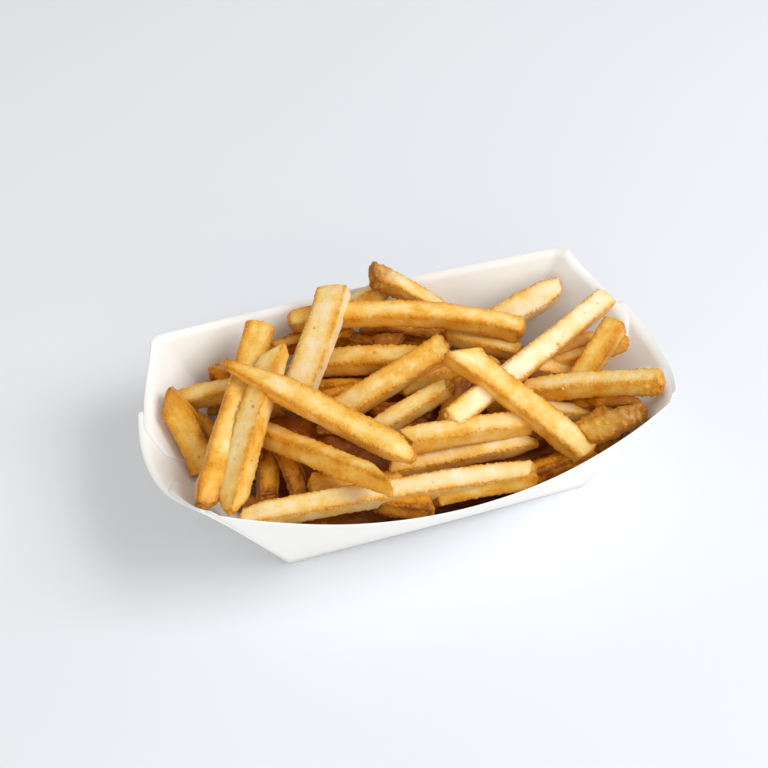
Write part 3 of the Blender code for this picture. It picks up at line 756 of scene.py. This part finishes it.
def make_crumbs(upper_fries):
    """Small knobbly lumps, each dropped straight down on the first fry under it."""
    draw = random.Random(CRUMB_SEED)
    pile = bmesh.new()
    for piece in upper_fries:
        pile.from_mesh(piece.data)
    landing = BVHTree.FromBMesh(pile)
    pile.free()
    crumbs = bmesh.new()
    place_layer = crumbs.verts.layers.float_vector.new("fry_place")
    look_layer = crumbs.verts.layers.float_vector.new("fry_look")
    for number in range(CRUMB_COUNT):
        above = Vector((draw.uniform(-1, 1) * CRUMB_SPREAD[0], draw.uniform(-1, 1) * CRUMB_SPREAD[1],
                        CRUMB_FALL))
        size = draw.uniform(*(BIG_CRUMB_SIZE if draw.random() < BIG_CRUMB_SHARE else CRUMB_SIZE))
        stretch = [draw.uniform(*CRUMB_STRETCH) for _ in range(3)]
        tone = draw.uniform(*CRUMB_TONE)
        if number < len(BURNT_CRUMBS):
            above = Vector((*BURNT_CRUMBS[number], CRUMB_FALL))
            size = BURNT_SIZE
            tone = BURNT_TONE
        spot = landing.ray_cast(above * MM, Vector((0, 0, -1)))[0]
        if spot is None:
            continue
        lump = bmesh.ops.create_icosphere(crumbs, subdivisions=2, radius=1)["verts"]
        for vertex in lump:
            pattern = vertex.co * CRUMB_PATTERN + above
            shape = Vector([part * side for part, side in zip(vertex.co, stretch)])
            vertex[place_layer] = pattern
            vertex[look_layer] = Vector((tone, CRUMB_GOLDEN, 0))
            vertex.co = spot + shape * size * MM * (1 + CRUMB_RELIEF * noise.noise(pattern))
    mesh = bpy.data.meshes.new("crumbs")
    crumbs.to_mesh(mesh)
    crumbs.free()
    mesh.shade_smooth()
    return mesh


add_piece("crumbs", make_crumbs((top_fries, middle_fries, low_fries)), fried_potato)


# Studio
# A white laminate table top under the tray. A large soft light stands above it to the right, with a
# weaker one low in front, in an even white room.

TABLE_HALF = 3.0                # metres, as are the lengths that follow here
TABLE_CLOUDS = 9.0              # clouds of its faint tone in a metre
KEY_PLACE = Vector((0.9, -0.5, 1.05))
KEY_SIZE = 0.85
KEY_POWER = 12.8                # watts
FILL_PLACE = Vector((-0.3, -1.2, 0.2))
FILL_SIZE = 1.2
FILL_POWER = 7.4
ROOM_LIGHT = 0.66
PHOTO_AZIMUTH = math.radians(-19.1)     # where the camera stands from what it looks at
PHOTO_ELEVATION = math.radians(43.04)
PHOTO_DISTANCE = 0.5112
PHOTO_TARGET = Vector((-1.6, 18.9, 19.3)) * MM
PHOTO_LENS = 67.23              # millimetres
PHOTO_NEAR = 0.01               # nearest that the camera sees


def aim(thing, place, target):
    """Put a light or a camera at a place, looking at the target."""
    thing.location = place
    thing.rotation_euler = (target - place).to_track_quat("-Z", "Y").to_euler()


def make_table():
    """Matt white laminate, with hardly any tone of its own."""
    material, shader = start_material("white laminate")
    place = add_node(material, "ShaderNodeTexCoord").outputs["Object"]
    clouds = add_node(material, "ShaderNodeTexNoise", {"Vector": place}, Scale=TABLE_CLOUDS)
    tone = add_node(material, "ShaderNodeMix",
                    {"Factor": clouds.outputs["Fac"], MIX_A: linear("#e8ebf0"), MIX_B: linear("#ebedf2")},
                    data_type="RGBA")
    material.node_tree.links.new(tone.outputs[MIXED], shader.inputs["Base Color"])
    shader.inputs["Roughness"].default_value = 0.8
    top = bmesh.new()
    bmesh.ops.create_grid(top, x_segments=2, y_segments=2, size=TABLE_HALF)
    mesh = bpy.data.meshes.new("table_top")
    top.to_mesh(mesh)
    top.free()
    mesh.materials.append(material)
    table = bpy.data.objects.new("table_top", mesh)
    bpy.context.scene.collection.objects.link(table)
    return table


make_table()


def add_light(name, place, size, power, hex_colour):
    """A square soft light that shines on the tray."""
    light = bpy.data.objects.new(name, bpy.data.lights.new(name, "AREA"))
    light.data.size = size
    light.data.energy = power
    light.data.color = linear(hex_colour)[:3]
    aim(light, place, Vector((0, 0, 0)))
    bpy.context.scene.collection.objects.link(light)


add_light("key_light", KEY_PLACE, KEY_SIZE, KEY_POWER, "#f6f9ff")
add_light("front_card", FILL_PLACE, FILL_SIZE, FILL_POWER, "#fcf9f6")

room = bpy.data.worlds.new("white_room")
room.use_nodes = True
room.node_tree.nodes["Background"].inputs["Color"].default_value = linear("#f8f6f2")
room.node_tree.nodes["Background"].inputs["Strength"].default_value = ROOM_LIGHT
bpy.context.scene.world = room
bpy.context.scene.view_settings.view_transform = "Standard"

camera = bpy.data.objects.new("camera", bpy.data.cameras.new("camera"))
camera.data.lens = PHOTO_LENS
camera.data.clip_start = PHOTO_NEAR
back = Vector((math.sin(PHOTO_AZIMUTH) * math.cos(PHOTO_ELEVATION),
               -math.cos(PHOTO_AZIMUTH) * math.cos(PHOTO_ELEVATION), math.sin(PHOTO_ELEVATION)))
aim(camera, PHOTO_TARGET + back * PHOTO_DISTANCE, PHOTO_TARGET)
bpy.context.scene.collection.objects.link(camera)
bpy.context.scene.camera = camera
